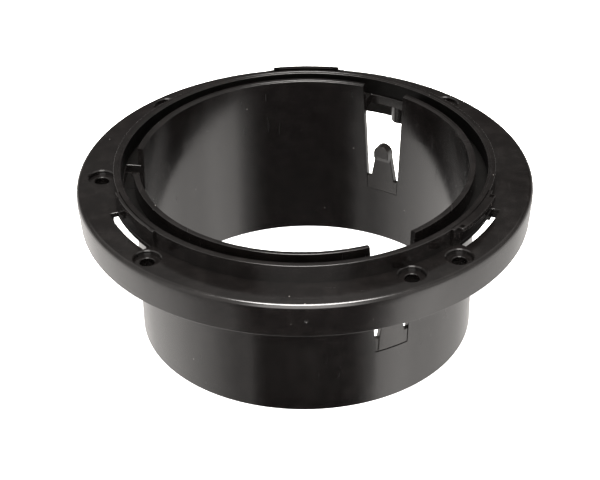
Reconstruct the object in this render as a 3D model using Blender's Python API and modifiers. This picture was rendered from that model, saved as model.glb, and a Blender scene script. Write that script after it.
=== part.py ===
"""Flanged twist-lock collar of a kitchen waste disposer: flange, rings, throat and snap fingers.

The frame is the collar's own: origin at the centre of the throat's foot, +Z up along the throat,
metres. Azimuths are degrees counter-clockwise from +X, seen from above. The left snap finger is
at 180 degrees and the back twist-lock lug at 90 degrees.
"""

import math

import bmesh
import bpy
from mathutils import Matrix

# Clearance between pieces that touch.
GAP = 0.0003

# Throat.
THROAT_BORE_RADIUS = 0.0538
THROAT_WALL = 0.0020
THROAT_DROP = 0.0540          # flange's top face down to the throat's foot
RING_RISE = 0.0060            # flange's top face up to the top of both rings

# Moat between the throat and the twist-lock ring.
MOAT_WIDTH = 0.0043
RING_WALL = 0.0024

# Flange.
FLANGE_WIDTH = 0.0125         # twist-lock ring's outside to the flange's edge
PLATE_THICKNESS = 0.0032
EDGE_FILLET = 0.0015
RIM_DEPTH = 0.0119            # flange's top face down to the rim's seat
RIM_WALL = 0.0020
RIM_DRAFT = 0.0008            # how far the rim's outside leans in towards its seat

# Screw holes, each a through hole under a pocket for the head.
SCREW_HOLE_RADIUS = 0.00235
SCREW_POCKET_RADIUS = 0.0044
SCREW_POCKET_DEPTH = 0.0015
INNER_SCREWS = (60, 180, 300)
OUTER_SCREWS = (45, 135, 225, 315)
SCREW_CIRCLE_STEP = 0.00165   # outer screw circle, beside the rim, in to the inner one
BOSS_WALL = 0.0010

# Stiffening rib under the flange, on the inner screw circle.
RIB_WALL = 0.0014
RIB_RECESS = 0.0008           # rib's foot above the rim's seat

# Gusset from the throat to the rib, flush with the clockwise side of each window notch.
GUSSET_WALL = 0.0014

# Twist-lock lugs.
LUG_AZIMUTHS = {"back": 90, "left": 210, "right": 330}
LUG_SPAN = 20.4               # degrees
LUG_PAD_SPAN = 24.6           # degrees
LUG_PAD = 0.0006              # thickness of the pad behind the lug
LUG_REACH = 0.0017            # lug's overhang past its pad
LUG_THICKNESS = 0.0018
LUG_LEAD_IN = 0.0006          # how much thinner the lug is at its entry end

# Arc slot through the flange under each lug.
SLOT_WIDTH = 0.0025
SLOT_SPAN = 20.8              # degrees
SLOT_LEAD = 0.7               # degrees from the lug's middle on to the slot's middle
SLOT_LAND = 0.0013            # plate's thickness left beside the slot, over its relief
SLOT_RELIEF = 0.0021          # how far the relief under the plate reaches in from the slot
SLOT_RELIEF_LEAD = 2.4        # degrees that the relief starts before the slot
SLOT_RELIEF_STOP = 2.0        # degrees that the relief ends before the slot's end, by a boss

# Windows in the throat, and the snap finger in each.
FINGER_AZIMUTHS = {"back": 60, "left": 180, "front": 300}
WINDOW_ROOT = 0.0347          # flange's top face down to the foot of the window
WINDOW_ROOT_WIDTH = 0.0118
WINDOW_TOP_WIDTH = 0.0160
NOTCH_WIDTH = 0.0140          # notch through the moat's floor over each window
NOTCH_LEDGE = 0.0006          # moat floor left beside the twist-lock ring at each window
PANEL_HEIGHT = 0.0050         # finger's root panel, up to the foot of the side slots
SIDE_SLOT = 0.0015
FINGER_HEIGHT = 0.0141        # finger's root up to the foot of the barb's face
FINGER_TIP_WIDTH = 0.0060
BARB_REACH = 0.0014           # barb's face in from the throat's bore
BARB_INSET = 0.0002           # barb's back in from the throat's outside
BARB_CHAMFER = 0.0020         # height of the chamfer under the barb's face
BARB_RISE = 0.0047            # foot of the barb's face up to its crown

# Fineness of round shapes.
TURN_STEPS = 96
HOLE_STEPS = 24
CROWN_STEPS = HOLE_STEPS // 4
FILLET_STEPS = 4

# Derived sizes.
THROAT_RADIUS = THROAT_BORE_RADIUS + THROAT_WALL
RING_BORE_RADIUS = THROAT_RADIUS + MOAT_WIDTH
RING_RADIUS = RING_BORE_RADIUS + RING_WALL
FLANGE_RADIUS = RING_RADIUS + FLANGE_WIDTH
RIM_BORE_RADIUS = FLANGE_RADIUS - RIM_DRAFT - RIM_WALL
BOSS_RADIUS = SCREW_HOLE_RADIUS + BOSS_WALL
OUTER_SCREW_CIRCLE = RIM_BORE_RADIUS - GAP - BOSS_RADIUS
INNER_SCREW_CIRCLE = OUTER_SCREW_CIRCLE - SCREW_CIRCLE_STEP
PLATE_TOP = THROAT_DROP
PLATE_FOOT = PLATE_TOP - PLATE_THICKNESS
TOP = PLATE_TOP + RING_RISE
RIM_FOOT = PLATE_TOP - RIM_DEPTH
ROOT_Z = PLATE_TOP - WINDOW_ROOT
PAD_RADIUS = RING_RADIUS + GAP + LUG_PAD
SLOT_INNER_RADIUS = PAD_RADIUS + GAP
FINGER_MID_RADIUS = THROAT_BORE_RADIUS + THROAT_WALL / 2
NOTCH_HALF_ANGLE = math.degrees(NOTCH_WIDTH / 2 / FINGER_MID_RADIUS)

BLACK_GLOSS = ("black_gloss", (0.012, 0.012, 0.013), 0.22)
BLACK_SATIN = ("black_satin", (0.016, 0.016, 0.017), 0.32)


def clear_scene():
    """Remove every object, so the script starts from an empty scene."""
    for obj in list(bpy.data.objects):
        bpy.data.objects.remove(obj, do_unlink=True)


def new_collection(name):
    """A new collection of the scene."""
    collection = bpy.data.collections.new(name)
    bpy.context.scene.collection.children.link(collection)
    return collection


def plastic(name, look):
    """A Principled material of the moulding's black plastic, from (label, colour, roughness)."""
    label, colour, roughness = look
    material = bpy.data.materials.new(f"{name}_{label}")
    material.use_nodes = True
    shader = material.node_tree.nodes["Principled BSDF"]
    shader.inputs["Base Color"].default_value = (*colour, 1.0)
    shader.inputs["Roughness"].default_value = roughness
    shader.inputs["Metallic"].default_value = 0.0
    return material


def add_object(name, mesh, collection, look=BLACK_GLOSS, azimuth=0.0):
    """A named object of a mesh, turned about the throat's axis, with its own material."""
    obj = bpy.data.objects.new(name, mesh)
    obj.rotation_euler.z = math.radians(azimuth)
    collection.objects.link(obj)
    if look:
        obj.data.materials.append(plastic(name, look))
    return obj


def as_cutter(obj):
    """Mark an object as a cutter, which isn't part of the collar."""
    obj.hide_render = True
    obj.display_type = "WIRE"
    return obj


def smooth(obj, degrees=35.0):
    """Shade round faces smooth and keep real edges sharp."""
    obj.data.shade_smooth()
    obj.data.set_sharp_from_angle(angle=math.radians(degrees))


def turned(name, profile, collection, look=BLACK_GLOSS, steps=TURN_STEPS):
    """A full ring: a closed (radius, z) profile, outer side listed top to bottom, with Screw."""
    mesh = bpy.data.meshes.new(name)
    points = [(radius, 0.0, z) for radius, z in profile]
    edges = [(i, (i + 1) % len(points)) for i in range(len(points))]
    mesh.from_pydata(points, edges, [])
    obj = add_object(name, mesh, collection, look)
    screw = obj.modifiers.new("Turn", "SCREW")
    screw.steps = steps
    screw.render_steps = steps
    screw.use_merge_vertices = True
    screw.merge_threshold = 0.00001
    screw.use_smooth_shade = False
    return obj


def arc_steps(span):
    """Segments for an arc of a span in degrees, as fine as the full rings."""
    return max(2, math.ceil(span / 360 * TURN_STEPS))


def swept_mesh(name, profile, start, end):
    """A closed sector: a (radius, z) profile spun about the axis from one azimuth to another."""
    bm = bmesh.new()
    rim = [bm.verts.new((radius, 0.0, z)) for radius, z in profile]
    face = bm.faces.new(rim)
    bmesh.ops.rotate(bm, verts=rim, matrix=Matrix.Rotation(math.radians(start), 3, "Z"))
    geometry = [face] + list(face.edges) + rim
    bmesh.ops.spin(
        bm, geom=geometry, axis=(0, 0, 1), cent=(0, 0, 0),
        angle=math.radians(end - start), steps=arc_steps(end - start))
    bmesh.ops.recalc_face_normals(bm, faces=bm.faces)
    mesh = bpy.data.meshes.new(name)
    bm.to_mesh(mesh)
    bm.free()
    return mesh


def rectangle(inner, outer, low, high):
    """The (radius, z) corners of a rectangular section."""
    return [(outer, high), (outer, low), (inner, low), (inner, high)]


def window_half_width(z):
    """Half the width of a throat window at a height, which tapers down to its foot."""
    share = (z - ROOT_Z) / (TOP - ROOT_Z)
    return (WINDOW_ROOT_WIDTH + share * (WINDOW_TOP_WIDTH - WINDOW_ROOT_WIDTH)) / 2


def window_half_angle(z):
    """The same half width, in degrees round the middle of the throat's wall."""
    return math.degrees(window_half_width(z) / FINGER_MID_RADIUS)


def screw_sites():
    """Each screw hole as (azimuth in degrees, radius of its circle), in order of azimuth."""
    inner = [(azimuth, INNER_SCREW_CIRCLE) for azimuth in INNER_SCREWS]
    outer = [(azimuth, OUTER_SCREW_CIRCLE) for azimuth in OUTER_SCREWS]
    return sorted(inner + outer)


def site_location(azimuth, radius):
    """The point at an azimuth and radius on the throat's foot plane."""
    angle = math.radians(azimuth)
    return (radius * math.cos(angle), radius * math.sin(angle), 0.0)


def flange_plate(parts, cutters):
    """The flange's flat plate, with its screw holes, arc slots and window notches."""
    corner = FLANGE_RADIUS - EDGE_FILLET
    fillet = []
    for step in range(FILLET_STEPS + 1):
        angle = math.pi / 2 * (1 - step / FILLET_STEPS)
        fillet.append((corner + EDGE_FILLET * math.cos(angle),
                       PLATE_TOP - EDGE_FILLET + EDGE_FILLET * math.sin(angle)))
    inner = THROAT_RADIUS + GAP
    profile = fillet + [(FLANGE_RADIUS, PLATE_FOOT), (inner, PLATE_FOOT), (inner, PLATE_TOP)]
    plate = turned("flange_plate", profile, parts)

    overrun = PLATE_THICKNESS
    pocket_floor = PLATE_TOP - SCREW_POCKET_DEPTH
    for azimuth, circle in screw_sites():
        pocket = [(SCREW_POCKET_RADIUS, PLATE_TOP + overrun), (SCREW_POCKET_RADIUS, pocket_floor),
                  (SCREW_HOLE_RADIUS, pocket_floor), (SCREW_HOLE_RADIUS, PLATE_FOOT - overrun)]
        cutter = as_cutter(screw_pocket(f"screw_pocket_{azimuth:03d}", pocket, cutters))
        cutter.location = site_location(azimuth, circle)

    slot = rectangle(SLOT_INNER_RADIUS, SLOT_INNER_RADIUS + SLOT_WIDTH,
                     PLATE_FOOT - overrun, PLATE_TOP + overrun)
    relief = rectangle(SLOT_INNER_RADIUS - SLOT_RELIEF, SLOT_INNER_RADIUS + SLOT_WIDTH / 2,
                       PLATE_FOOT - overrun, PLATE_TOP - SLOT_LAND)
    for side, azimuth in LUG_AZIMUTHS.items():
        start = SLOT_LEAD - SLOT_SPAN / 2
        end = SLOT_LEAD + SLOT_SPAN / 2
        mesh = swept_mesh("lug_slot", slot, start, end)
        as_cutter(add_object(f"lug_slot_{side}", mesh, cutters, None, azimuth))
        mesh = swept_mesh("slot_relief", relief, start - SLOT_RELIEF_LEAD, end - SLOT_RELIEF_STOP)
        as_cutter(add_object(f"slot_relief_{side}", mesh, cutters, None, azimuth))

    notch = rectangle(inner - overrun, RING_BORE_RADIUS - NOTCH_LEDGE,
                      PLATE_FOOT - overrun, PLATE_TOP + overrun)
    for side, azimuth in FINGER_AZIMUTHS.items():
        mesh = swept_mesh("window_notch", notch, -NOTCH_HALF_ANGLE, NOTCH_HALF_ANGLE)
        as_cutter(add_object(f"window_notch_{side}", mesh, cutters, None, azimuth))

    cut = plate.modifiers.new("Holes", "BOOLEAN")
    cut.operation = "DIFFERENCE"
    cut.operand_type = "COLLECTION"
    cut.collection = cutters
    cut.solver = "EXACT"
    return plate


def screw_pocket(name, outline, cutters):
    """A cutter for one screw hole: a solid turned from an open outline that meets the axis."""
    top = outline[0][1]
    foot = outline[-1][1]
    points = [(0.0, 0.0, top)] + [(radius, 0.0, z) for radius, z in outline] + [(0.0, 0.0, foot)]
    mesh = bpy.data.meshes.new(name)
    mesh.from_pydata(points, [(i, i + 1) for i in range(len(points) - 1)], [])
    obj = add_object(name, mesh, cutters, None)
    screw = obj.modifiers.new("Turn", "SCREW")
    screw.steps = HOLE_STEPS
    screw.render_steps = HOLE_STEPS
    screw.use_merge_vertices = True
    screw.merge_threshold = 0.00001
    return obj


def rim_band(parts):
    """The flange's down-turned rim, which the collar sits on when it is fitted."""
    high = PLATE_FOOT - GAP
    profile = [(FLANGE_RADIUS, high), (FLANGE_RADIUS - RIM_DRAFT, RIM_FOOT),
               (RIM_BORE_RADIUS, RIM_FOOT), (FLANGE_RADIUS - RIM_WALL, high)]
    return turned("rim_band", profile, parts)


def twist_lock_ring(parts):
    """The outer upstanding ring, which carries the lugs."""
    profile = rectangle(RING_BORE_RADIUS, RING_RADIUS, PLATE_TOP + GAP, TOP)
    return turned("twist_lock_ring", profile, parts)


def throat_sleeve(parts):
    """The plain lower part of the throat, below the windows."""
    profile = rectangle(THROAT_BORE_RADIUS, THROAT_RADIUS, 0.0, ROOT_Z - GAP)
    return turned("throat_sleeve", profile, parts, BLACK_SATIN)


def throat_wall_mesh():
    """One stretch of the throat between two windows, whose ends lean with the windows' sides."""
    section = rectangle(THROAT_BORE_RADIUS, THROAT_RADIUS, ROOT_Z, TOP)
    foot_half = 60 - window_half_angle(ROOT_Z)
    mesh = swept_mesh("throat_wall", section, -foot_half, foot_half)
    top_share = (60 - window_half_angle(TOP)) / foot_half
    for vertex in mesh.vertices:
        if vertex.co.z > PLATE_TOP:
            angle = math.atan2(vertex.co.y, vertex.co.x)
            vertex.co = Matrix.Rotation(angle * (top_share - 1), 3, "Z") @ vertex.co
    return mesh


def throat_walls(parts):
    """The three stretches of the throat beside the windows, up to the inner ring's top."""
    for side, azimuth in {"right": 0, "back": 120, "front": 240}.items():
        wall = add_object(f"throat_wall_{side}", throat_wall_mesh(), parts, BLACK_SATIN, azimuth)
        smooth(wall)


def lug_mesh():
    """One twist-lock lug on its pad: the pad stands on the plate, and the lug overhangs a slot."""
    pad = rectangle(RING_RADIUS + GAP, PAD_RADIUS, PLATE_TOP + GAP, TOP)
    mesh = swept_mesh("twist_lock_lug", pad, -LUG_PAD_SPAN / 2, LUG_PAD_SPAN / 2)
    tab = rectangle(RING_RADIUS + GAP + LUG_PAD / 2, PAD_RADIUS + LUG_REACH,
                    TOP - LUG_THICKNESS, TOP)
    tab_mesh = swept_mesh("lug_tab", tab, -LUG_SPAN / 2, LUG_SPAN / 2)
    for vertex in tab_mesh.vertices:
        entry = 0.5 - math.degrees(math.atan2(vertex.co.y, vertex.co.x)) / LUG_SPAN
        if vertex.co.z < TOP - LUG_THICKNESS / 2:
            vertex.co.z += LUG_LEAD_IN * entry
    return mesh, tab_mesh


def twist_lock_lugs(parts, cutters):
    """The three lugs that a mating cover turns under."""
    for side, azimuth in LUG_AZIMUTHS.items():
        pad_mesh, tab_mesh = lug_mesh()
        lug = add_object(f"twist_lock_lug_{side}", pad_mesh, parts, BLACK_GLOSS, azimuth)
        tab = as_cutter(add_object(f"lug_tab_{side}", tab_mesh, cutters, None, azimuth))
        join = lug.modifiers.new("Tab", "BOOLEAN")
        join.operation = "UNION"
        join.object = tab
        join.solver = "EXACT"


def screw_bosses(parts):
    """A hollow boss under each screw hole, down to the plane of the rim's seat."""
    section = rectangle(SCREW_HOLE_RADIUS, BOSS_RADIUS, RIM_FOOT, PLATE_FOOT - GAP)
    for azimuth, circle in screw_sites():
        boss = turned(f"screw_boss_{azimuth:03d}", section, parts, steps=HOLE_STEPS)
        boss.location = site_location(azimuth, circle)
        smooth(boss)


def stiffening_ribs(parts):
    """The arcs of the rib under the flange, one between each two neighbouring bosses."""
    circle = INNER_SCREW_CIRCLE
    section = rectangle(circle - RIB_WALL / 2, circle + RIB_WALL / 2,
                        RIM_FOOT + RIB_RECESS, PLATE_FOOT - GAP)
    clearance = math.degrees((BOSS_RADIUS + 2 * GAP) / (circle - RIB_WALL / 2))
    azimuths = [azimuth for azimuth, _ in screw_sites()]
    for start, end in zip(azimuths, azimuths[1:] + [azimuths[0] + 360]):
        mesh = swept_mesh("rib", section, start + clearance, end - clearance)
        smooth(add_object(f"stiffening_rib_{start:03d}", mesh, parts))


def window_gussets(parts):
    """A radial gusset beside each window notch, which ties the throat to the stiffening rib."""
    inner = THROAT_RADIUS + GAP
    outer = INNER_SCREW_CIRCLE - RIB_WALL / 2 - GAP
    section = rectangle(inner, outer, RIM_FOOT + RIB_RECESS, PLATE_FOOT - GAP)
    span = math.degrees(GUSSET_WALL / FINGER_MID_RADIUS)
    for side, azimuth in FINGER_AZIMUTHS.items():
        mesh = swept_mesh("gusset", section, -NOTCH_HALF_ANGLE - span, -NOTCH_HALF_ANGLE)
        add_object(f"gusset_{side}", mesh, parts, BLACK_GLOSS, azimuth)


def plate(outline, thickness):
    """A plate: a (width, height) outline in the Y-Z plane, extruded along X."""
    bm = bmesh.new()
    rim = [bm.verts.new((0, y, z)) for y, z in outline]
    face = bm.faces.new(rim)
    grown = bmesh.ops.extrude_face_region(bm, geom=[face], use_keep_orig=True)
    moved = [item for item in grown["geom"] if isinstance(item, bmesh.types.BMVert)]
    bmesh.ops.translate(bm, verts=moved, vec=(thickness, 0, 0))
    bmesh.ops.recalc_face_normals(bm, faces=bm.faces)
    return bm


def score(bm, place, normal):
    """Cut every face that a plane crosses, leaving the shape as it is."""
    everything = list(bm.verts) + list(bm.edges) + list(bm.faces)
    bmesh.ops.bisect_plane(bm, geom=everything, dist=1e-7, plane_no=normal, plane_co=place)


def raise_faces(bm, faces, distance):
    """Extrude faces along X and give back the vertices of their raised copies."""
    grown = bmesh.ops.extrude_face_region(bm, geom=faces)
    raised = [item for item in grown["geom"] if isinstance(item, bmesh.types.BMVert)]
    bmesh.ops.translate(bm, verts=raised, vec=(distance, 0, 0))
    bmesh.ops.delete(bm, geom=faces, context="FACES")
    return raised


def bend_on_throat(bm):
    """Bend a flat plate, whose X is depth from the bore, round the throat's axis."""
    for vertex in bm.verts:
        angle = vertex.co.y / FINGER_MID_RADIUS
        radius = THROAT_BORE_RADIUS + vertex.co.x
        vertex.co.x = radius * math.cos(angle) - FINGER_MID_RADIUS
        vertex.co.y = radius * math.sin(angle)


def finger_outline():
    """The finger's half outline as (half width, height over the root), foot to crown."""
    slot_foot = window_half_width(ROOT_Z + PANEL_HEIGHT)
    half = FINGER_TIP_WIDTH / 2
    spring_line = FINGER_HEIGHT + BARB_RISE - half
    turns = [math.pi / 2 * i / CROWN_STEPS for i in range(CROWN_STEPS)]
    crown = [(half * math.cos(turn), spring_line + half * math.sin(turn)) for turn in turns]
    return [(window_half_width(ROOT_Z) - GAP, 0.0), (slot_foot - GAP, PANEL_HEIGHT),
            (slot_foot - SIDE_SLOT, PANEL_HEIGHT), (half, FINGER_HEIGHT)] + crown


def finger_mesh():
    """The finger's root panel, tapered tongue and barb in one, about its own hinge point."""
    half = finger_outline()
    outline = half + [(0.0, FINGER_HEIGHT + BARB_RISE)] + [(-y, z) for y, z in reversed(half)]
    back = THROAT_WALL - BARB_INSET
    barb_foot = FINGER_HEIGHT - BARB_CHAMFER
    bm = plate(outline, back)
    for height in (barb_foot, FINGER_HEIGHT):
        score(bm, (0, 0, height), (0, 0, 1))
    facet = FINGER_TIP_WIDTH / 3
    reach = math.ceil(half[1][0] / facet)
    for step in range(-reach, reach):
        score(bm, (0, (step + 0.5) * facet, 0), (0, 1, 0))
    tongue_back = [face for face in bm.faces if abs(face.normal.x) > 0.5
                   and face.calc_center_median().x > back / 2
                   and face.calc_center_median().z < FINGER_HEIGHT]
    raise_faces(bm, tongue_back, BARB_INSET)
    barb_front = [face for face in bm.faces if abs(face.normal.x) > 0.5
                  and face.calc_center_median().x < back / 2
                  and face.calc_center_median().z > barb_foot
                  and abs(face.calc_center_median().y) < FINGER_TIP_WIDTH / 2]
    raised = raise_faces(bm, barb_front, -BARB_REACH)
    sill = [vertex for vertex in raised if vertex.co.z < barb_foot + 1e-6]
    bmesh.ops.translate(bm, verts=sill, vec=(BARB_REACH, 0, 0))
    bmesh.ops.remove_doubles(bm, verts=bm.verts, dist=1e-6)
    bmesh.ops.recalc_face_normals(bm, faces=bm.faces)
    bend_on_throat(bm)
    mesh = bpy.data.meshes.new("snap_finger")
    bm.to_mesh(mesh)
    bm.free()
    return mesh


def snap_fingers(parts):
    """The three snap fingers, each on an empty that stands on its hinge line."""
    for side, azimuth in FINGER_AZIMUTHS.items():
        pivot = bpy.data.objects.new(f"pivot_{side}", None)
        parts.objects.link(pivot)
        foot = site_location(azimuth, FINGER_MID_RADIUS)
        pivot.location = (foot[0], foot[1], ROOT_Z)
        pivot.rotation_euler.z = math.radians(azimuth)
        finger = add_object(f"snap_finger_{side}", finger_mesh(), parts, BLACK_SATIN)
        finger.parent = pivot


def main():
    """Build the whole collar."""
    clear_scene()
    parts = new_collection("twist_lock_collar")
    plate_cutters = new_collection("plate_cutters")
    union_tools = new_collection("union_tools")
    flange_plate(parts, plate_cutters)
    rim_band(parts)
    twist_lock_ring(parts)
    throat_sleeve(parts)
    throat_walls(parts)
    twist_lock_lugs(parts, union_tools)
    screw_bosses(parts)
    stiffening_ribs(parts)
    window_gussets(parts)
    snap_fingers(parts)
    bpy.context.view_layer.update()


main()
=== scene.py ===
"""Visual model of the flanged twist-lock collar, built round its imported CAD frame.

Everything is in metres in the collar's own frame: +Z runs up the throat, and azimuths are degrees
counter-clockwise from +X, seen from above.
"""

import logging
import math
from dataclasses import dataclass
from enum import Enum
from typing import Callable, Dict, Iterable, List, Optional, Sequence, Tuple

import bmesh
import bpy
from mathutils import Matrix, Vector


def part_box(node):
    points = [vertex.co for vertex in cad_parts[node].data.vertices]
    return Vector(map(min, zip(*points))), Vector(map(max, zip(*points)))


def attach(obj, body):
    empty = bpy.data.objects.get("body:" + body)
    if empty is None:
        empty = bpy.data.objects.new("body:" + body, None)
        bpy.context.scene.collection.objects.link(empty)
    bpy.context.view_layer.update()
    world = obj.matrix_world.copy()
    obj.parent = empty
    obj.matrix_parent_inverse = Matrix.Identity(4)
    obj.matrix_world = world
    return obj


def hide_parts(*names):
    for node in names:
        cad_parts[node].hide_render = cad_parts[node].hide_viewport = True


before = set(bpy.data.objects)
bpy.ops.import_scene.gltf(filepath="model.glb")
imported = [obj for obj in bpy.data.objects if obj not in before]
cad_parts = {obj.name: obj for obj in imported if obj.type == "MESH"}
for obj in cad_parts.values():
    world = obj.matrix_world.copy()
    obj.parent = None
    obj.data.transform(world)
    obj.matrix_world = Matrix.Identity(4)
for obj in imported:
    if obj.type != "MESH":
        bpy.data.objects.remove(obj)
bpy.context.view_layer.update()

LOG = logging.getLogger("collar")

Point = Tuple[float, float]
FULL_TURN = 720
HALF_STEP = 360.0 / FULL_TURN


class Slot(Enum):
    """Material slots of the record."""

    FLANGE = "flange"
    THROAT = "throat"
    FINGER = "finger"


class Body(Enum):
    """Moving bodies of the collar."""

    COLLAR = "collar"
    FINGER_BACK = "finger_back"
    FINGER_LEFT = "finger_left"
    FINGER_FRONT = "finger_front"


@dataclass(frozen=True)
class CollarSizes:
    """Main sizes of the collar, read from the boxes of its CAD nodes, in metres."""

    flange_radius: float
    plate_top: float
    plate_foot: float
    rim_foot: float
    ring_radius: float
    top: float
    throat_radius: float
    window_root: float

    @classmethod
    def from_frame(cls) -> "CollarSizes":
        """Read every size from the frame.

        Returns:
            The collar's sizes.
        """
        plate_low, plate_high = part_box("flange_plate")
        rim_low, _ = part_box("rim_band")
        _, ring_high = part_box("twist_lock_ring")
        _, sleeve_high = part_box("throat_sleeve")
        wall_low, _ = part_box("throat_wall_right")
        return cls(
            flange_radius=plate_high.x,
            plate_top=plate_high.z,
            plate_foot=plate_low.z,
            rim_foot=rim_low.z,
            ring_radius=ring_high.x,
            top=ring_high.z,
            throat_radius=sleeve_high.x,
            window_root=wall_low.z,
        )


# --------------------------------------------------------------------------- finishes


class NodeGraph:
    """A small helper that adds and joins shader nodes of one tree."""

    def __init__(self, tree: bpy.types.NodeTree) -> None:
        """Keep the tree that nodes are added to."""
        self.tree = tree

    def add(self, kind: str, **settings: object) -> bpy.types.Node:
        """Add a node.

        Args:
            kind: Blender's node type.
            settings: Attributes to set on the node.

        Returns:
            The new node.
        """
        node = self.tree.nodes.new(kind)
        for key, value in settings.items():
            setattr(node, key, value)
        return node

    def join(self, source: bpy.types.NodeSocket, target: bpy.types.NodeSocket) -> None:
        """Link one socket to another."""
        self.tree.links.new(source, target)

    def math(self, operation: str, first: object, second: object = 0.0) -> bpy.types.NodeSocket:
        """Add a math node.

        Args:
            operation: Name of the operation.
            first: A socket or a number.
            second: A socket or a number.

        Returns:
            The node's output.
        """
        node = self.add("ShaderNodeMath", operation=operation)
        for index, value in enumerate((first, second)):
            if isinstance(value, bpy.types.NodeSocket):
                self.join(value, node.inputs[index])
            else:
                node.inputs[index].default_value = value
        return node.outputs[0]

    def span(
        self, value: bpy.types.NodeSocket, low: float, high: float, to_low: float, to_high: float
    ) -> bpy.types.NodeSocket:
        """Map a value from one range to another, smoothly.

        Args:
            value: The socket to map.
            low: Where the range starts.
            high: Where the range ends.
            to_low: What the start becomes.
            to_high: What the end becomes.

        Returns:
            The mapped value.
        """
        node = self.add("ShaderNodeMapRange", interpolation_type="SMOOTHSTEP")
        self.join(value, node.inputs["Value"])
        node.inputs["From Min"].default_value = low
        node.inputs["From Max"].default_value = high
        node.inputs["To Min"].default_value = to_low
        node.inputs["To Max"].default_value = to_high
        return node.outputs["Result"]

    def noise(
        self, place: bpy.types.NodeSocket, scale: float, detail: float, stretch: Tuple[float, float, float]
    ) -> bpy.types.NodeSocket:
        """Add a noise pattern.

        Args:
            place: Coordinates to read.
            scale: Pattern scale.
            detail: Octaves of detail.
            stretch: Scale along each axis, which draws the pattern out into streaks.

        Returns:
            The pattern's value.
        """
        mapping = self.add("ShaderNodeMapping")
        mapping.inputs["Scale"].default_value = stretch
        self.join(place, mapping.inputs["Vector"])
        pattern = self.add("ShaderNodeTexNoise")
        pattern.inputs["Scale"].default_value = scale
        pattern.inputs["Detail"].default_value = detail
        self.join(mapping.outputs["Vector"], pattern.inputs["Vector"])
        return pattern.outputs["Fac"]


@dataclass(frozen=True)
class MouldedPlastic:
    """Black moulded plastic with flow marks, fine surface texture, handling scratches and dust."""

    name: str
    colour: Tuple[float, float, float]
    roughness: float
    roughness_spread: float
    texture_height: float
    scratch_share: float
    specular: float = 0.5

    def material(self) -> bpy.types.Material:
        """Build the material, or give the one already built.

        Returns:
            The finish's material.
        """
        known = bpy.data.materials.get(self.name)
        if known is not None:
            return known
        material = bpy.data.materials.new(self.name)
        material.use_nodes = True
        graph = NodeGraph(material.node_tree)
        shader = material.node_tree.nodes["Principled BSDF"]
        shader.inputs["IOR"].default_value = 1.5
        shader.inputs["Specular IOR Level"].default_value = self.specular
        place = graph.add("ShaderNodeTexCoord").outputs["Object"]

        flow = graph.noise(place, 38.0, 3.0, (1.0, 1.0, 0.35))
        haze = graph.noise(place, 210.0, 4.0, (1.0, 1.0, 1.0))
        scratch_up = graph.noise(place, 60.0, 2.0, (1.0, 22.0, 1.6))
        scratch_across = graph.noise(place, 60.0, 2.0, (18.0, 1.4, 2.0))
        marks = graph.math("MULTIPLY", graph.span(scratch_up, 0.66, 0.74, 0.0, 1.0), self.scratch_share)
        others = graph.math(
            "MULTIPLY", graph.span(scratch_across, 0.67, 0.75, 0.0, 1.0), self.scratch_share)
        scratches = graph.math("MAXIMUM", marks, others)
        dust = self._dust(graph, place)

        spread = graph.span(
            flow, 0.3, 0.7, self.roughness - self.roughness_spread, self.roughness + self.roughness_spread)
        fogged = graph.math("MULTIPLY", graph.span(haze, 0.45, 0.8, 0.0, 1.0), 0.035)
        rough = graph.math("ADD", graph.math("ADD", spread, fogged), graph.math("MULTIPLY", scratches, 0.1))
        graph.join(graph.math("ADD", rough, graph.math("MULTIPLY", dust, 0.4)), shader.inputs["Roughness"])

        tint = graph.add("ShaderNodeMix", data_type="RGBA")
        dusty = graph.add("ShaderNodeMix", data_type="RGBA")
        pale = tuple(min(1.0, part * 1.7) for part in self.colour)
        tint.inputs["A"].default_value = (*self.colour, 1.0)
        tint.inputs["B"].default_value = (*pale, 1.0)
        graph.join(graph.span(haze, 0.35, 0.75, 0.0, 1.0), tint.inputs["Factor"])
        dusty.inputs["B"].default_value = (0.16, 0.15, 0.14, 1.0)
        graph.join(graph.math("MULTIPLY", dust, 0.7), dusty.inputs["Factor"])
        graph.join(tint.outputs["Result"], dusty.inputs["A"])
        graph.join(dusty.outputs["Result"], shader.inputs["Base Color"])

        grain = graph.noise(place, 1500.0, 2.0, (1.0, 1.0, 1.0))
        sink = graph.noise(place, 46.0, 1.0, (1.0, 1.0, 1.0))
        relief = graph.math("ADD", graph.math("MULTIPLY", grain, 0.25), graph.math("MULTIPLY", sink, 1.6))
        relief = graph.math("SUBTRACT", relief, graph.math("MULTIPLY", scratches, 0.18))
        bump = graph.add("ShaderNodeBump")
        bump.inputs["Strength"].default_value = 1.0
        bump.inputs["Distance"].default_value = self.texture_height
        graph.join(relief, bump.inputs["Height"])
        graph.join(bump.outputs["Normal"], shader.inputs["Normal"])
        return material

    def _dust(self, graph: NodeGraph, place: bpy.types.NodeSocket) -> bpy.types.NodeSocket:
        """Sparse specks of dust.

        Args:
            graph: The material's graph.
            place: Coordinates to read.

        Returns:
            One on a speck, zero elsewhere.
        """
        cells = graph.add("ShaderNodeTexVoronoi")
        cells.inputs["Scale"].default_value = 240.0
        graph.join(place, cells.inputs["Vector"])
        speck = graph.span(cells.outputs["Distance"], 0.035, 0.06, 1.0, 0.0)
        patch = graph.span(graph.noise(place, 90.0, 1.0, (1.0, 1.0, 1.0)), 0.58, 0.64, 0.0, 1.0)
        return graph.math("MULTIPLY", speck, patch)


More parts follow.
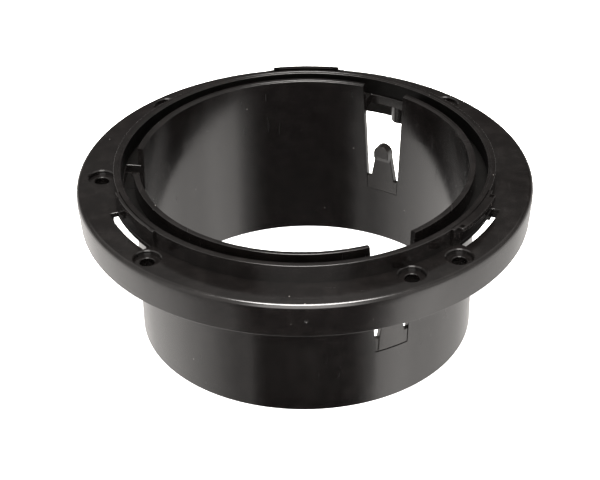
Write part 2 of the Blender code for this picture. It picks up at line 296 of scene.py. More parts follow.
GLOSS = MouldedPlastic("plastic_black_gloss", (0.0026, 0.0022, 0.0021), 0.150, 0.03, 0.000020, 0.8)
THROAT_GLOSS = MouldedPlastic("plastic_black_throat", (0.0026, 0.0022, 0.0021), 0.165, 0.035, 0.000026, 1.0)
MOAT_RADIUS = 0.0601
MOAT_TOP_MARGIN = 0.0003
# Painted shade: a darker colour and weak reflection for the recess between the two rings, with a rougher surface.
MOAT = MouldedPlastic("plastic_black_moat_shade", (0.0012, 0.0011, 0.0010), 0.38, 0.04, 0.000030, 0.3, 0.12)
UNDERSIDE = MouldedPlastic("plastic_black_underside", (0.0052, 0.0046, 0.0043), 0.27, 0.05, 0.000032, 0.6)
FINGER_GLOSS = MouldedPlastic("plastic_black_finger", (0.0050, 0.0044, 0.0041), 0.16, 0.03, 0.000018, 0.6)


# --------------------------------------------------------------------------- mesh tools


def section(bm: bmesh.types.BMesh, corners: Sequence[Point], rounds: Dict[int, float]) -> bmesh.types.BMFace:
    """A closed (radius, z) section in the X-Z plane, with some of its corners rounded.

    Args:
        bm: The mesh to add to.
        corners: Its corners in order.
        rounds: Corner number to the radius it is rounded to.

    Returns:
        The section's face.
    """
    verts = [bm.verts.new((radius, 0.0, z)) for radius, z in corners]
    face = bm.faces.new(verts)
    for number, radius in rounds.items():
        steps = max(6, round(radius / 0.00012))
        bmesh.ops.bevel(
            bm, geom=[verts[number]], offset=radius, offset_type="OFFSET", segments=min(steps, 12),
            profile=0.5, affect="VERTICES", material=-1)
    return bm.faces[:][0] if not face.is_valid else face


def ring(corners: Sequence[Point], rounds: Dict[int, float], steps: int = FULL_TURN) -> bmesh.types.BMesh:
    """A full ring turned from a section.

    Args:
        corners: The section's (radius, z) corners.
        rounds: Corner number to the radius it is rounded to.
        steps: Steps round the turn.

    Returns:
        The ring's mesh.
    """
    bm = bmesh.new()
    face = section(bm, corners, rounds)
    bmesh.ops.delete(bm, geom=[face], context="FACES_ONLY")
    bmesh.ops.spin(
        bm, geom=bm.verts[:] + bm.edges[:], axis=(0, 0, 1), cent=(0, 0, 0),
        angle=math.tau, steps=steps, use_merge=True)
    bmesh.ops.remove_doubles(bm, verts=bm.verts[:], dist=1e-6)
    bmesh.ops.recalc_face_normals(bm, faces=bm.faces[:])
    return bm


def sector(
    corners: Sequence[Point], rounds: Dict[int, float], middle: float, half: float, steps: int
) -> bmesh.types.BMesh:
    """A closed stretch of a ring.

    Args:
        corners: The section's (radius, z) corners.
        rounds: Corner number to the radius it is rounded to.
        middle: Azimuth of its middle, in degrees.
        half: Half of its span, in degrees.
        steps: Steps along it.

    Returns:
        The stretch's mesh.
    """
    bm = bmesh.new()
    section(bm, corners, rounds)
    turn = Matrix.Rotation(math.radians(middle - half), 3, "Z")
    bmesh.ops.rotate(bm, verts=bm.verts[:], cent=(0, 0, 0), matrix=turn)
    bmesh.ops.spin(
        bm, geom=bm.verts[:] + bm.edges[:] + bm.faces[:], axis=(0, 0, 1), cent=(0, 0, 0),
        angle=math.radians(2 * half), steps=steps)
    bmesh.ops.recalc_face_normals(bm, faces=bm.faces[:])
    return bm


def soften(
    bm: bmesh.types.BMesh, offset: float, segments: int,
    wanted: Optional[Callable[[bmesh.types.BMEdge], bool]] = None, sharper_than: float = 35.0,
) -> None:
    """Round the real edges of a mesh.

    Args:
        bm: The mesh.
        offset: Size of the rounding.
        segments: Steps across it.
        wanted: Which of the edges are rounded.
        sharper_than: Edges that turn by more than this many degrees count as real.
    """
    limit = math.radians(sharper_than)
    edges = [
        edge for edge in bm.edges
        if len(edge.link_faces) == 2 and edge.calc_face_angle(0.0) > limit
        and (wanted is None or wanted(edge))
    ]
    bmesh.ops.bevel(
        bm, geom=edges, offset=offset, offset_type="OFFSET", segments=segments, profile=0.5,
        affect="EDGES", clamp_overlap=True, material=-1)


def azimuth_of(place: Vector) -> float:
    """Azimuth of a point, in degrees from 0 to 360."""
    return math.degrees(math.atan2(place.y, place.x)) % 360.0


def turn_from(azimuth: float, middle: float) -> float:
    """Signed angle from one azimuth to another, in degrees."""
    return (azimuth - middle + 180.0) % 360.0 - 180.0


def as_object(name: str, bm: bmesh.types.BMesh) -> bpy.types.Object:
    """Turn a mesh into a linked object at the origin.

    Args:
        name: The object's name.
        bm: Its mesh, which is freed.

    Returns:
        The object.
    """
    mesh = bpy.data.meshes.new(name)
    bm.to_mesh(mesh)
    bm.free()
    obj = bpy.data.objects.new(name, mesh)
    bpy.context.scene.collection.objects.link(obj)
    return obj


def carve(obj: bpy.types.Object, cutters: Iterable[bpy.types.Object], operation: str = "DIFFERENCE") -> None:
    """Cut solids out of an object, or join them to it, for good.

    Args:
        obj: The object to change.
        cutters: The solids, which are removed afterwards.
        operation: Name of the boolean operation.
    """
    cutters = list(cutters)
    for cutter in cutters:
        tool = obj.modifiers.new("Carve", "BOOLEAN")
        tool.operation = operation
        tool.solver = "EXACT"
        tool.object = cutter
    bpy.context.view_layer.update()
    finished = bpy.data.meshes.new_from_object(obj.evaluated_get(bpy.context.evaluated_depsgraph_get()))
    obj.modifiers.clear()
    obj.data = finished
    for cutter in cutters:
        bpy.data.objects.remove(cutter, do_unlink=True)


def publish(
    obj: bpy.types.Object, finish: MouldedPlastic, body: Body, nodes: Sequence[str]
) -> bpy.types.Object:
    """Finish a piece: shading, material, slot, body and the CAD nodes that it stands for.

    Args:
        obj: The piece.
        finish: Its plastic.
        body: The body it moves with.
        nodes: CAD nodes that it replaces.

    Returns:
        The finished piece.
    """
    obj.data.materials.clear()
    obj.data.materials.append(finish.material())
    obj.data.shade_smooth()
    obj.data.set_sharp_from_angle(angle=math.radians(40.0))
    weighted = obj.modifiers.new("Even shading", "WEIGHTED_NORMAL")
    weighted.mode = "FACE_AREA"
    weighted.keep_sharp = True
    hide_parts(*nodes)
    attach(obj, body.value)
    LOG.info("%s rides on %s, %d faces", obj.name, body.value, len(obj.data.polygons))
    return obj


def shade_moat(obj: bpy.types.Object, sizes: CollarSizes) -> None:
    """Paint shade on the surfaces between the two rings, below their tops, with a darker, rougher and less reflective
    material.

    Args:
        obj: The piece, which already has its own finish.
        sizes: The collar's sizes.
    """
    obj.data.materials.append(MOAT.material())
    # These faces take the painted shade of the recess between the rings.
    for face in obj.data.polygons:
        radius = math.hypot(face.center.x, face.center.y)
        low, high = sizes.plate_top - 1e-5, sizes.top - MOAT_TOP_MARGIN
        if sizes.throat_radius - 1e-4 < radius < MOAT_RADIUS + 5e-5 and low < face.center.z < high:
            face.material_index = 1


# --------------------------------------------------------------------------- flange


@dataclass
class Flange:
    """Flat flange with its down-turned rim, screw pockets, lug slots and window notches."""

    sizes: CollarSizes
    inner_radius: float = 0.0551
    edge_fillet: float = 0.0015
    rim_wall: float = 0.0020
    rim_draft: float = 0.0008
    slot_inner: float = 0.0637
    slot_outer: float = 0.0662
    slot_half: float = 10.5
    slot_lead: float = 0.5
    slot_land: float = 0.0013
    relief_inner: float = 0.0616
    relief_start: float = -12.1
    relief_end: float = 9.1
    notch_outer: float = 0.0595
    notch_half: float = 7.5
    hole_radius: float = 0.00235
    pocket_radius: float = 0.00430
    pocket_depth: float = 0.0015
    lip: float = 0.00035

    def build(self) -> None:
        """Build the shell, cut its holes and publish it."""
        bm = self._shell()
        for azimuth in LUG_AZIMUTHS.values():
            self._open(bm, azimuth + self.slot_lead, self.slot_inner, self.slot_outer, self.slot_half)
        for azimuth in WINDOW_AZIMUTHS.values():
            self._open(bm, azimuth, 0.0, self.notch_outer, self.notch_half)
        soften(bm, 0.00022, 3, self._is_opening_edge)
        shell = as_object("flange_shell", bm)
        cutters = [self._pocket_cutter(name) for name in boss_nodes()]
        cutters.append(self._tick_cutter())
        cutters.append(self._dimple_cutter())
        cutters.extend(self._relief_cutter(azimuth) for azimuth in LUG_AZIMUTHS.values())
        carve(shell, cutters)
        publish(shell, GLOSS, Body.COLLAR, ["flange_plate", "rim_band"])
        shade_moat(shell, self.sizes)

    def _shell(self) -> bmesh.types.BMesh:
        """The flange and rim, turned from one section.

        Returns:
            The shell's mesh.
        """
        size = self.sizes
        rim_outer = size.flange_radius - self.rim_draft
        rim_inner = rim_outer - self.rim_wall + 0.0006
        corners = [
            (self.inner_radius, size.plate_top), (self.notch_outer, size.plate_top),
            (MOAT_RADIUS, size.plate_top), (self.slot_inner, size.plate_top), (self.slot_outer, size.plate_top),
            (size.flange_radius, size.plate_top), (size.flange_radius, size.plate_foot),
            (rim_outer, size.rim_foot), (rim_inner, size.rim_foot),
            (size.flange_radius - self.rim_wall, size.plate_foot),
            (self.slot_outer, size.plate_foot), (self.slot_inner, size.plate_foot),
            (self.notch_outer, size.plate_foot), (self.inner_radius, size.plate_foot),
        ]
        return ring(corners, {5: self.edge_fillet, 7: 0.00035, 8: 0.00035, 9: 0.0008})

    def _open(self, bm: bmesh.types.BMesh, middle: float, inner: float, outer: float, half: float) -> None:
        """Open a slot through the plate.

        Args:
            bm: The shell's mesh.
            middle: Azimuth of the slot's middle.
            inner: Its inner radius.
            outer: Its outer radius.
            half: Half of its span, in degrees.
        """
        size = self.sizes
        doomed = []
        for face in bm.faces:
            place = face.calc_center_median()
            radius = math.hypot(place.x, place.y)
            flat = abs(place.z - size.plate_top) < 1e-5 or abs(place.z - size.plate_foot) < 1e-5
            wall = inner == 0.0 and radius < self.inner_radius + 1e-5
            if inner < radius < outer and abs(turn_from(azimuth_of(place), middle)) < half and (flat or wall):
                doomed.append(face)
        bmesh.ops.delete(bm, geom=doomed, context="FACES")
        level = [
            edge for edge in bm.edges
            if edge.is_boundary and abs(edge.verts[0].co.z - edge.verts[1].co.z) < 1e-6
        ]
        bmesh.ops.bridge_loops(bm, edges=level)
        bmesh.ops.recalc_face_normals(bm, faces=bm.faces[:])

    def _is_opening_edge(self, edge: bmesh.types.BMEdge) -> bool:
        """Whether an edge is the rim of a slot or notch, on the plate's top."""
        radii = [math.hypot(vert.co.x, vert.co.y) for vert in edge.verts]
        level = all(abs(vert.co.z - self.sizes.plate_top) < 1e-5 for vert in edge.verts)
        return level and self.inner_radius + 1e-4 < max(radii) < self.slot_outer + 1e-4

    def _pocket_cutter(self, boss: str) -> bpy.types.Object:
        """The cutter of one screw hole with its head pocket.

        Args:
            boss: CAD node of the boss under the hole.

        Returns:
            The cutter.
        """
        low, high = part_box(boss)
        centre = (low + high) / 2
        top = self.sizes.plate_top
        corners = [
            (0.0, top + 0.001), (self.pocket_radius + self.lip + 0.001, top + 0.001),
            (self.pocket_radius + self.lip, top), (self.pocket_radius, top - self.lip),
            (self.pocket_radius - 0.0001, top - self.pocket_depth),
            (self.hole_radius + 0.0002, top - self.pocket_depth),
            (self.hole_radius, top - self.pocket_depth - 0.0002),
            (self.hole_radius, self.sizes.plate_foot - 0.001), (0.0, self.sizes.plate_foot - 0.001),
        ]
        bm = ring(corners, {}, 64)
        bmesh.ops.translate(bm, verts=bm.verts[:], vec=(centre.x, centre.y, 0.0))
        return as_object("pocket_cutter", bm)

    def _relief_cutter(self, azimuth: float) -> bpy.types.Object:
        """The cutter of the relief under the plate beside one slot.

        Args:
            azimuth: The lug's azimuth.

        Returns:
            The cutter.
        """
        outer, foot = (self.slot_inner + self.slot_outer) / 2, self.sizes.plate_foot - 0.001
        ceiling = self.sizes.plate_top - self.slot_land
        corners = [(outer, ceiling), (outer, foot), (self.relief_inner, foot), (self.relief_inner, ceiling)]
        middle = azimuth + (self.relief_start + self.relief_end) / 2
        half = (self.relief_end - self.relief_start) / 2
        return as_object("relief_cutter", sector(corners, {}, middle, half, 42))

    def _tick_cutter(self) -> bpy.types.Object:
        """The cutter of the shallow index mark on the front of the flange."""
        top = self.sizes.plate_top
        corners = [(0.0712, top + 0.0002), (0.0712, top - 0.00012), (0.0723, top - 0.00012), (0.0723, top + 0.0002)]
        return as_object("tick_cutter", sector(corners, {}, 270.0, 5.2, 40))

    def _dimple_cutter(self) -> bpy.types.Object:
        """The cutter of the small dimple in the front of the rim."""
        bm = bmesh.new()
        bmesh.ops.create_uvsphere(bm, u_segments=24, v_segments=14, radius=0.0009)
        bmesh.ops.translate(bm, verts=bm.verts[:], vec=(0.0012, -0.07535, self.sizes.plate_top - 0.0058))
        return as_object("dimple_cutter", bm)


# --------------------------------------------------------------------------- rings and throat


@dataclass
class TwistLockRing:
    """Outer upstanding ring, with a stepped inner lip."""

    sizes: CollarSizes
    bore: float = 0.0601
    edge_round: float = 0.00016
    step_width: float = 0.0008
    step_drop: float = 0.00022

    def build(self) -> None:
        """Turn the ring and publish it."""
        size = self.sizes
        foot = size.plate_top - 0.0004
        corners = [
            (size.ring_radius, size.top), (size.ring_radius, foot), (self.bore, foot),
            (self.bore, size.top - self.step_drop), (self.bore + self.step_width, size.top - self.step_drop),
            (self.bore + self.step_width + 0.00005, size.top),
        ]
        bm = ring(corners, {0: self.edge_round, 3: self.edge_round, 5: self.edge_round * 0.8})
        outer_ring = as_object("ring_outer", bm)
        publish(outer_ring, GLOSS, Body.COLLAR, ["twist_lock_ring"])
        shade_moat(outer_ring, size)


@dataclass
class Throat:
    """Throat tube with its inner ring and three tapered windows."""

    sizes: CollarSizes
    wall: float = 0.0020
    draft: float = 0.0002
    line_depth: float = 0.0090
    edge_round: float = 0.00016
    step_width: float = 0.0006
    step_drop: float = 0.00022
    grid_half: float = 8.5
    root_half: float = 6.17
    top_half: float = 8.36

    def build(self) -> None:
        """Turn the tube, open and taper its windows, and publish it."""
        size = self.sizes
        outer, bore = size.throat_radius, size.throat_radius - self.wall
        line = size.plate_top - self.line_depth
        corners = [
            (outer + self.draft, size.top), (outer, size.window_root), (outer - self.draft, 0.0),
            (bore - self.draft, 0.0), (bore, size.window_root), (bore + 0.0001, line - 0.0001),
            (bore + 0.00018, line), (bore + self.draft, size.top - self.step_drop),
            (bore + self.draft + self.step_width, size.top - self.step_drop),
            (bore + self.draft + self.step_width + 0.00005, size.top),
        ]
        edge = self.edge_round
        bm = ring(corners, {0: edge, 2: 0.0003, 3: 0.0003, 7: edge, 9: edge * 0.8})
        for azimuth in WINDOW_AZIMUTHS.values():
            self._open_window(bm, azimuth)
        self._taper(bm)
        soften(bm, 0.00012, 3, self._is_window_edge, 60.0)
        nodes = ["throat_sleeve", "throat_wall_right", "throat_wall_back", "throat_wall_front"]
        tube = as_object("throat_tube", bm)
        publish(tube, THROAT_GLOSS, Body.COLLAR, nodes)
        shade_moat(tube, size)

    def _open_window(self, bm: bmesh.types.BMesh, middle: float) -> None:
        """Open one window from its root up through the inner ring.

        Args:
            bm: The tube's mesh.
            middle: Azimuth of the window's middle.
        """
        root = self.sizes.window_root
        doomed = [
            face for face in bm.faces
            if face.calc_center_median().z > root + 1e-5
            and abs(turn_from(azimuth_of(face.calc_center_median()), middle)) < self.grid_half
        ]
        bmesh.ops.delete(bm, geom=doomed, context="FACES")
        split = self.sizes.throat_radius - self.wall / 2
        edges = [edge for edge in bm.edges if edge.is_boundary]
        outer = [
            edge for edge in edges
            if all(math.hypot(vert.co.x, vert.co.y) > split for vert in edge.verts)
        ]
        inner = [
            edge for edge in edges
            if all(math.hypot(vert.co.x, vert.co.y) < split for vert in edge.verts)
        ]
        bmesh.ops.bridge_loops(bm, edges=outer + inner)
        bmesh.ops.holes_fill(bm, edges=[edge for edge in bm.edges if edge.is_boundary])
        bmesh.ops.recalc_face_normals(bm, faces=bm.faces[:])

    def _taper(self, bm: bmesh.types.BMesh) -> None:
        """Lean the windows' sides in towards their roots.

        Args:
            bm: The tube's mesh.
        """
        root, top = self.sizes.window_root, self.sizes.top
        for vert in bm.verts:
            share = max(0.0, min(1.0, (vert.co.z - root) / (top - root)))
            edge = self.root_half + share * (self.top_half - self.root_half)
            azimuth = azimuth_of(vert.co)
            middle = min(WINDOW_AZIMUTHS.values(), key=lambda item: abs(turn_from(azimuth, item)))
            turn = turn_from(azimuth, middle)
            if abs(turn) <= self.grid_half:
                wanted = turn * edge / self.grid_half
            else:
                rest = (abs(turn) - self.grid_half) * (60.0 - edge) / (60.0 - self.grid_half)
                wanted = math.copysign(edge + rest, turn)
            vert.co = Matrix.Rotation(math.radians(wanted - turn), 3, "Z") @ vert.co

    def _is_window_edge(self, edge: bmesh.types.BMEdge) -> bool:
        """Whether an edge is on the side or root of a window."""
        root, top = self.sizes.window_root, self.sizes.top
        for vert in edge.verts:
            share = max(0.0, (vert.co.z - root) / (top - root))
            half = self.root_half + share * (self.top_half - self.root_half)
            near = min(abs(turn_from(azimuth_of(vert.co), item)) for item in WINDOW_AZIMUTHS.values())
            if near > half + 0.2 or vert.co.z < root - 1e-5 or vert.co.z > top - 0.0015:
                return False
        return True


# --------------------------------------------------------------------------- lugs, bosses, ribs


@dataclass
class TwistLockLug:
    """One lug on its pad, with rounded corners, a lead-in and a small recess at each end."""

    sizes: CollarSizes
    side: str
    azimuth: float
    pad_half: float = 12.3
    tab_half: float = 10.3
    pad_radius: float = 0.0634
    reach: float = 0.0017
    thickness: float = 0.0018
    lead_in: float = 0.0006

    def build(self) -> None:
        """Build the pad and the tab as one piece and publish it."""
        size = self.sizes
        foot = size.plate_top - 0.0003
        root = size.ring_radius - 0.0006
        pad_section = [(self.pad_radius, size.top), (self.pad_radius, foot), (root, foot), (root, size.top)]
        pad = sector(pad_section, {}, self.azimuth, self.pad_half, 48)
        soften(pad, 0.00018, 3, sharper_than=45.0)
        lug = as_object(f"lug_{self.side}", pad)
        carve(lug, [self._tab()], "UNION")
        carve(lug, [self._recess(-1.0), self._recess(1.0)])
        publish(lug, GLOSS, Body.COLLAR, [f"twist_lock_lug_{self.side}"])

    def _tab(self) -> bpy.types.Object:
        """The overhanging tab, thinner at its entry end."""
        size = self.sizes
        outer = self.pad_radius + self.reach
        under = size.top - self.thickness
        root = size.ring_radius - 0.0003
        tab = sector(
            [(outer, size.top), (outer, under), (root, under), (root, size.top)], {},
            self.azimuth, self.tab_half, 40)
        for vert in tab.verts:
            if vert.co.z < size.top - self.thickness / 2:
                share = 0.5 - turn_from(azimuth_of(vert.co), self.azimuth) / (2 * self.tab_half)
                vert.co.z += self.lead_in * share
        corners = [
            edge for edge in tab.edges
            if abs(edge.verts[0].co.z - edge.verts[1].co.z) > self.thickness / 3
            and all(math.hypot(vert.co.x, vert.co.y) > outer - 1e-4 for vert in edge.verts)
            and all(abs(turn_from(azimuth_of(vert.co), self.azimuth)) > self.tab_half - 0.1 for vert in edge.verts)
        ]
        bmesh.ops.bevel(
            tab, geom=corners, offset=0.0007, offset_type="OFFSET", segments=5, profile=0.5,
            affect="EDGES", clamp_overlap=False, material=-1)
        soften(tab, 0.00016, 3, sharper_than=50.0)
        return as_object("lug_tab", tab)

    def _recess(self, way: float) -> bpy.types.Object:
        """The small boxed recess at one end of the tab, clockwise where way is negative."""
        size = self.sizes
        middle = self.azimuth + way * (self.tab_half - 1.15)
        inner, outer = self.pad_radius - 0.0001, self.pad_radius + self.reach - 0.00045
        corners = [
            (outer, size.top + 0.0005), (outer, size.top - 0.0008),
            (inner, size.top - 0.0008), (inner, size.top + 0.0005),
        ]
        return as_object("lug_recess", sector(corners, {}, middle, 0.72, 4))


LUG_AZIMUTHS: Dict[str, float] = {"back": 90.0, "left": 210.0, "right": 330.0}
WINDOW_AZIMUTHS: Dict[str, float] = {"back": 60.0, "left": 180.0, "front": 300.0}


def boss_nodes() -> List[str]:
    """Names of the CAD nodes of the screw bosses, in order."""
    return sorted(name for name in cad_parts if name.startswith("screw_boss_"))


@dataclass
class ScrewBoss:
    """Hollow boss under one screw hole."""

    sizes: CollarSizes
    node: str
    bore: float = 0.00235

    def build(self) -> None:
        """Turn the boss where its CAD node stands and publish it."""
        low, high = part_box(self.node)
        centre = (low + high) / 2
        radius = (high.x - low.x) / 2
        top = self.sizes.plate_foot + 0.0006
        corners = [(radius, top), (radius, low.z), (self.bore, low.z), (self.bore, top)]
        bm = ring(corners, {1: 0.0003, 2: 0.0002}, 64)
        bmesh.ops.translate(bm, verts=bm.verts[:], vec=(centre.x, centre.y, 0.0))
        name = self.node.replace("screw_boss", "boss")
        publish(as_object(name, bm), UNDERSIDE, Body.COLLAR, [self.node])


@dataclass
class UndersideWall:
    """A rib or gusset under the flange, rebuilt from its CAD node's own place."""

    sizes: CollarSizes
    node: str
    grow: float = 0.0005

    def build(self) -> None:
        """Sweep the wall between the node's azimuths and publish it."""
        places = [vert.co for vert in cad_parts[self.node].data.vertices]
        radii = [math.hypot(place.x, place.y) for place in places]
        first = azimuth_of(places[0])
        turns = [turn_from(azimuth_of(place), first) for place in places]
        middle = first + (max(turns) + min(turns)) / 2
        half = (max(turns) - min(turns)) / 2 + math.degrees(self.grow / max(radii)) * 0.8
        foot = min(place.z for place in places)
        top = self.sizes.plate_foot + 0.0004
        inner = min(radii) - (self.grow if self.node.startswith("gusset") else 0.0)
        outer = max(radii) + (self.grow if self.node.startswith("gusset") else 0.0)
        corners = [(outer, top), (outer, foot), (inner, foot), (inner, top)]
        bm = sector(corners, {1: 0.0002, 2: 0.0002}, middle, half, max(2, round(half * 2)))
        name = self.node.replace("stiffening_rib", "rib").replace("gusset", "web")
        publish(as_object(name, bm), UNDERSIDE, Body.COLLAR, [self.node])


# --------------------------------------------------------------------------- snap fingers


@dataclass
class SnapFinger:
    """One sprung finger: root panel, tapered tongue and domed barb that reaches into the bore."""

    sizes: CollarSizes
    side: str
    azimuth: float
    body: Body
    wall: float = 0.0020
    root_half_width: float = 0.00582
    root_gap: float = 0.00013
    panel_half_width: float = 0.00607
    panel_height: float = 0.0050
    panel_recess: float = 0.00022
    tongue_half_width: float = 0.00465
    tip_half_width: float = 0.0030
    face_height: float = 0.0141
    barb_rise: float = 0.0047
    barb_reach: float = 0.0014
    barb_inset: float = 0.0002
    barb_chamfer: float = 0.0020

    def build(self) -> None:
        """Build the finger and publish it."""
        finger = as_object(f"finger_{self.side}_moulding", self._panel())
        carve(finger, [as_object("tongue", self._tongue()), as_object("barb", self._barb())], "UNION")
        publish(finger, FINGER_GLOSS, self.body, [f"snap_finger_{self.side}"])

    def _plate(
        self, outline: Sequence[Point], depth: Point, rounds: Sequence[int] = (), radius: float = 0.0
    ) -> bmesh.types.BMesh:
        """A flat plate in the finger's own place, with depth outwards from the throat's bore.

        Args:
            outline: Its (width, height) corners.
            depth: Where its depth starts and ends.
            rounds: Corner numbers that are rounded.
            radius: Radius of those corners.

        Returns:
            The plate's mesh.
        """
        bm = bmesh.new()
        verts = [bm.verts.new((depth[0], width, height)) for width, height in outline]
        face = bm.faces.new(verts)
        if rounds:
            bmesh.ops.bevel(
                bm, geom=[verts[number] for number in rounds], offset=radius, offset_type="OFFSET",
                segments=14, profile=0.5, affect="VERTICES", clamp_overlap=False, material=-1)
            face = bm.faces[:][0]
        grown = bmesh.ops.extrude_face_region(bm, geom=[face], use_keep_orig=True)
        moved = [item for item in grown["geom"] if isinstance(item, bmesh.types.BMVert)]
        bmesh.ops.translate(bm, verts=moved, vec=(depth[1] - depth[0], 0, 0))
        bmesh.ops.remove_doubles(bm, verts=bm.verts[:], dist=1e-6)
        bmesh.ops.recalc_face_normals(bm, faces=bm.faces[:])
        return bm

    def _wrap(self, bm: bmesh.types.BMesh) -> bmesh.types.BMesh:
        """Bend a flat plate round the throat and stand it in its window.

        Args:
            bm: The plate, whose X is depth from the bore.

        Returns:
            The same mesh.
        """
        bore = self.sizes.throat_radius - self.wall
        middle = bore + self.wall / 2
        reach = max(vert.co.y for vert in bm.verts)
        cuts = 14
        for cut in range(1, cuts):
            bmesh.ops.bisect_plane(
                bm, geom=bm.verts[:] + bm.edges[:] + bm.faces[:], dist=1e-7,
                plane_co=(0, reach * (2 * cut / cuts - 1), 0), plane_no=(0, 1, 0))
        for vert in bm.verts:
            angle = vert.co.y / middle
            radius = bore + vert.co.x
            vert.co = Vector((radius * math.cos(angle), radius * math.sin(angle), vert.co.z))
        self._stand(bm)
        return bm

    def _stand(self, bm: bmesh.types.BMesh) -> None:
        """Turn a mesh to the finger's azimuth and lift it to the window's root."""
        turn = Matrix.Rotation(math.radians(self.azimuth), 3, "Z")
        bmesh.ops.rotate(bm, verts=bm.verts[:], cent=(0, 0, 0), matrix=turn)
        bmesh.ops.translate(bm, verts=bm.verts[:], vec=(0, 0, self.sizes.window_root))

    def _panel(self) -> bmesh.types.BMesh:
        """The root panel, whose outside is set back beside the tongue."""
        outline = [
            (self.root_half_width, self.root_gap), (self.panel_half_width, self.panel_height),
            (-self.panel_half_width, self.panel_height), (-self.root_half_width, self.root_gap),
        ]
        bm = self._plate(outline, (0.00002, self.wall - self.panel_recess))
        soften(bm, 0.00010, 3, sharper_than=50.0)
        return self._wrap(bm)

    def _tongue(self) -> bmesh.types.BMesh:
        """The tapered tongue, up to the barb."""
        outline = [
            (self.tongue_half_width + 0.0004, 0.0003), (self.tongue_half_width, self.panel_height),
            (self.tip_half_width, self.face_height), (-self.tip_half_width, self.face_height),
            (-self.tongue_half_width, self.panel_height), (-self.tongue_half_width - 0.0004, 0.0003),
        ]
        bm = self._plate(outline, (0.0, self.wall))
        soften(bm, 0.00022, 3, sharper_than=50.0)
        return self._wrap(bm)

    def _barb(self) -> bmesh.types.BMesh:
        """The domed barb, chamfered under its face.

        Returns:
            The barb's mesh.
        """
        half = self.tip_half_width
        crown = self.face_height + self.barb_rise
        foot = self.face_height - self.barb_chamfer
        outline = [(half, foot), (half, crown), (-half, crown), (-half, foot)]
        bm = self._plate(outline, (-self.barb_reach, self.wall - self.barb_inset), (1, 2), half * 0.999)
        under = Vector((-self.barb_chamfer, 0, -self.barb_reach)).normalized()
        cut = bmesh.ops.bisect_plane(
            bm, geom=bm.verts[:] + bm.edges[:] + bm.faces[:], dist=1e-7,
            plane_co=(-self.barb_reach, 0, self.face_height), plane_no=under, clear_outer=True)
        rim = [item for item in cut["geom_cut"] if isinstance(item, bmesh.types.BMEdge)]
        bmesh.ops.holes_fill(bm, edges=rim)
        bmesh.ops.recalc_face_normals(bm, faces=bm.faces[:])
        soften(bm, 0.00025, 3, sharper_than=30.0)
        return self._wrap(bm)


# --------------------------------------------------------------------------- studio


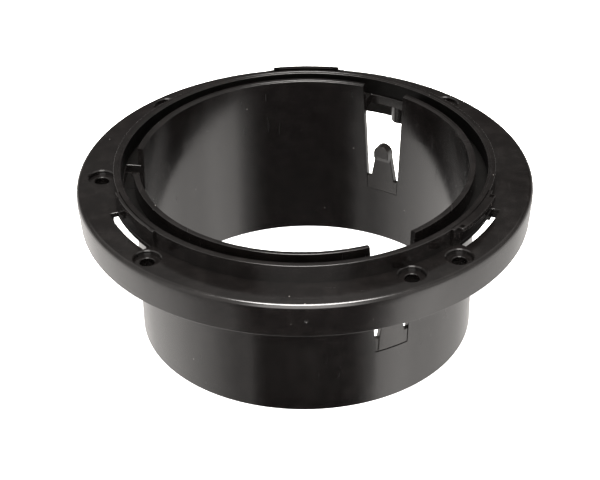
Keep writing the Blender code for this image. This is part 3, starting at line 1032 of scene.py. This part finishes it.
@dataclass
class Studio:
    """Pale floor, soft surrounding light and the camera."""

    floor_size: float = 6.0
    floor_glow: float = 1.15
    camera_place: Tuple[float, float, float] = (0.00996, -0.5939, 0.4151)
    camera_turn: float = 0.01986
    camera_dip: float = 0.5765
    camera_roll: float = -0.0156
    lens: float = 126.64

    def build(self) -> None:
        """Add the floor, the surrounding light and the camera."""
        self._floor()
        self._sky()
        self._camera()
        bpy.context.scene.view_settings.view_transform = "Standard"

    def _floor(self) -> None:
        """The plain pale floor, bright enough to read as a clean sweep."""
        bm = bmesh.new()
        bmesh.ops.create_grid(bm, x_segments=4, y_segments=4, size=self.floor_size / 2)
        bmesh.ops.translate(bm, verts=bm.verts[:], vec=(0, 0, -0.0001))
        floor = as_object("floor", bm)
        material = bpy.data.materials.new("floor_pale")
        material.use_nodes = True
        shader = material.node_tree.nodes["Principled BSDF"]
        shader.inputs["Base Color"].default_value = (0.9, 0.9, 0.9, 1.0)
        shader.inputs["Roughness"].default_value = 0.9
        shader.inputs["Emission Color"].default_value = (1.0, 1.0, 1.0, 1.0)
        shader.inputs["Emission Strength"].default_value = self.floor_glow
        floor.data.materials.append(material)
        floor.visible_glossy = False

    def _sky(self) -> None:
        """Soft light from all round: dark in front, bright cards at the sides and overhead."""
        world = bpy.data.worlds.new("studio")
        bpy.context.scene.world = world
        world.use_nodes = True
        graph = NodeGraph(world.node_tree)
        background = world.node_tree.nodes["Background"]
        way = graph.add("ShaderNodeSeparateXYZ")
        graph.join(graph.add("ShaderNodeTexCoord").outputs["Generated"], way.inputs["Vector"])
        x, y, z = (way.outputs[axis] for axis in ("X", "Y", "Z"))
        heading = graph.math("ARCTAN2", x, graph.math("MULTIPLY", y, -1.0))
        share = graph.math("ADD", graph.math("DIVIDE", heading, math.tau), 0.5)
        low = self._ring_of_light(graph, share, SIDE_CARDS)
        upper = self._ring_of_light(graph, share, UPPER_CARDS)
        steep = self._ring_of_light(graph, share, STEEP_CARDS)
        high = self._blend(graph, graph.span(z, 0.55, 0.60, 0.0, 1.0), upper, steep)
        blend = self._blend(graph, graph.span(z, -0.15, 0.25, 0.0, 1.0), low, high)
        crown = graph.span(z, 0.95, 0.985, 0.0, 1.0)
        overhead = graph.add("ShaderNodeCombineColor")
        for part, level in zip(("Red", "Green", "Blue"), (42.0, 40.6, 39.2)):
            overhead.inputs[part].default_value = level
        total = self._blend(graph, crown, blend, overhead.outputs["Color"])
        graph.join(total, background.inputs["Color"])
        background.inputs["Strength"].default_value = 1.0

    def _ring_of_light(
        self, graph: NodeGraph, share: bpy.types.NodeSocket, cards: Sequence[Tuple[float, float]]
    ) -> bpy.types.NodeSocket:
        """A ring of light whose level changes with the heading.

        Args:
            graph: The world's graph.
            share: Heading from 0 to 1, with the front at one half.
            cards: Pairs of heading in degrees from the front, and light level.

        Returns:
            The light's level.
        """
        ramp = graph.add("ShaderNodeValToRGB")
        ramp.color_ramp.interpolation = "EASE"
        graph.join(share, ramp.inputs["Fac"])
        elements = ramp.color_ramp.elements
        while len(elements) > 1:
            elements.remove(elements[-1])
        for number, (heading, level) in enumerate(cards):
            place = heading / 360.0 + 0.5
            element = elements[0] if number == 0 else elements.new(place)
            element.position = place
            element.color = (level / 8.0, level * 0.965 / 8.0, level * 0.93 / 8.0, 1.0)
        scale = graph.add("ShaderNodeVectorMath", operation="SCALE")
        scale.inputs["Scale"].default_value = 8.0
        graph.join(ramp.outputs["Color"], scale.inputs[0])
        return scale.outputs["Vector"]

    def _blend(
        self, graph: NodeGraph, factor: bpy.types.NodeSocket, first: bpy.types.NodeSocket,
        second: bpy.types.NodeSocket,
    ) -> bpy.types.NodeSocket:
        """Blend two colours.

        Args:
            graph: The world's graph.
            factor: How much of the second shows.
            first: The first colour.
            second: The second colour.

        Returns:
            The blended colour.
        """
        mix = graph.add("ShaderNodeMix", data_type="RGBA")
        graph.join(factor, mix.inputs["Factor"])
        colours = [socket for socket in mix.inputs if socket.type == "RGBA"]
        graph.join(first, colours[0])
        graph.join(second, colours[1])
        return next(socket for socket in mix.outputs if socket.type == "RGBA")

    def _camera(self) -> None:
        """The camera, and the scene's use of it."""
        data = bpy.data.cameras.new("camera")
        data.lens = self.lens
        data.sensor_width = 36.0
        camera = bpy.data.objects.new("camera", data)
        bpy.context.scene.collection.objects.link(camera)
        turn = (
            Matrix.Rotation(self.camera_turn, 4, "Z")
            @ Matrix.Rotation(math.pi / 2 - self.camera_dip, 4, "X")
            @ Matrix.Rotation(self.camera_roll, 4, "Z")
        )
        camera.matrix_world = Matrix.Translation(self.camera_place) @ turn
        bpy.context.scene.camera = camera


# Heading in degrees from the front (positive to the right), and light level.
SIDE_CARDS: Tuple[Tuple[float, float], ...] = (
    (-180.0, 0.85), (-136.0, 1.50), (-117.0, 1.85), (-102.0, 2.00), (-84.0, 1.80), (-70.0, 1.45),
    (-58.0, 0.95), (-49.0, 0.65), (-40.0, 0.75), (-34.0, 0.20), (-28.0, 0.04), (27.0, 0.04), (35.0, 0.14),
    (44.0, 0.75), (54.0, 2.35), (68.0, 2.65), (88.0, 1.95), (104.0, 1.60), (136.0, 1.15), (180.0, 0.85),
)
UPPER_CARDS: Tuple[Tuple[float, float], ...] = (
    (-180.0, 0.11), (-172.0, 0.12), (-150.0, 0.16), (-120.0, 0.50), (-70.0, 1.20), (-34.0, 1.00),
    (-16.0, 6.00), (16.0, 6.00), (34.0, 1.00), (70.0, 1.10), (120.0, 0.38), (150.0, 0.06), (172.0, 0.04), (180.0, 0.11),
)
STEEP_CARDS: Tuple[Tuple[float, float], ...] = (
    (-180.0, 0.75), (-150.0, 0.72), (-120.0, 0.65), (-70.0, 1.20), (-34.0, 1.00),
    (-16.0, 6.00), (16.0, 6.00), (34.0, 1.00), (70.0, 1.10), (120.0, 0.50), (150.0, 0.55), (180.0, 0.75),
)


def main() -> None:
    """Build the collar and its studio in order, and report each piece."""
    logging.basicConfig(level=logging.INFO, format="%(name)s: %(message)s")
    sizes = CollarSizes.from_frame()
    Studio().build()
    Flange(sizes).build()
    TwistLockRing(sizes).build()
    Throat(sizes).build()
    for side, azimuth in LUG_AZIMUTHS.items():
        TwistLockLug(sizes, side, azimuth).build()
    for node in boss_nodes():
        ScrewBoss(sizes, node).build()
    for node in sorted(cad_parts):
        if node.startswith(("stiffening_rib_", "gusset_")):
            UndersideWall(sizes, node).build()
    for side, azimuth in WINDOW_AZIMUTHS.items():
        SnapFinger(sizes, side, azimuth, Body(f"finger_{side}")).build()


if __name__ == "__main__":
    main()
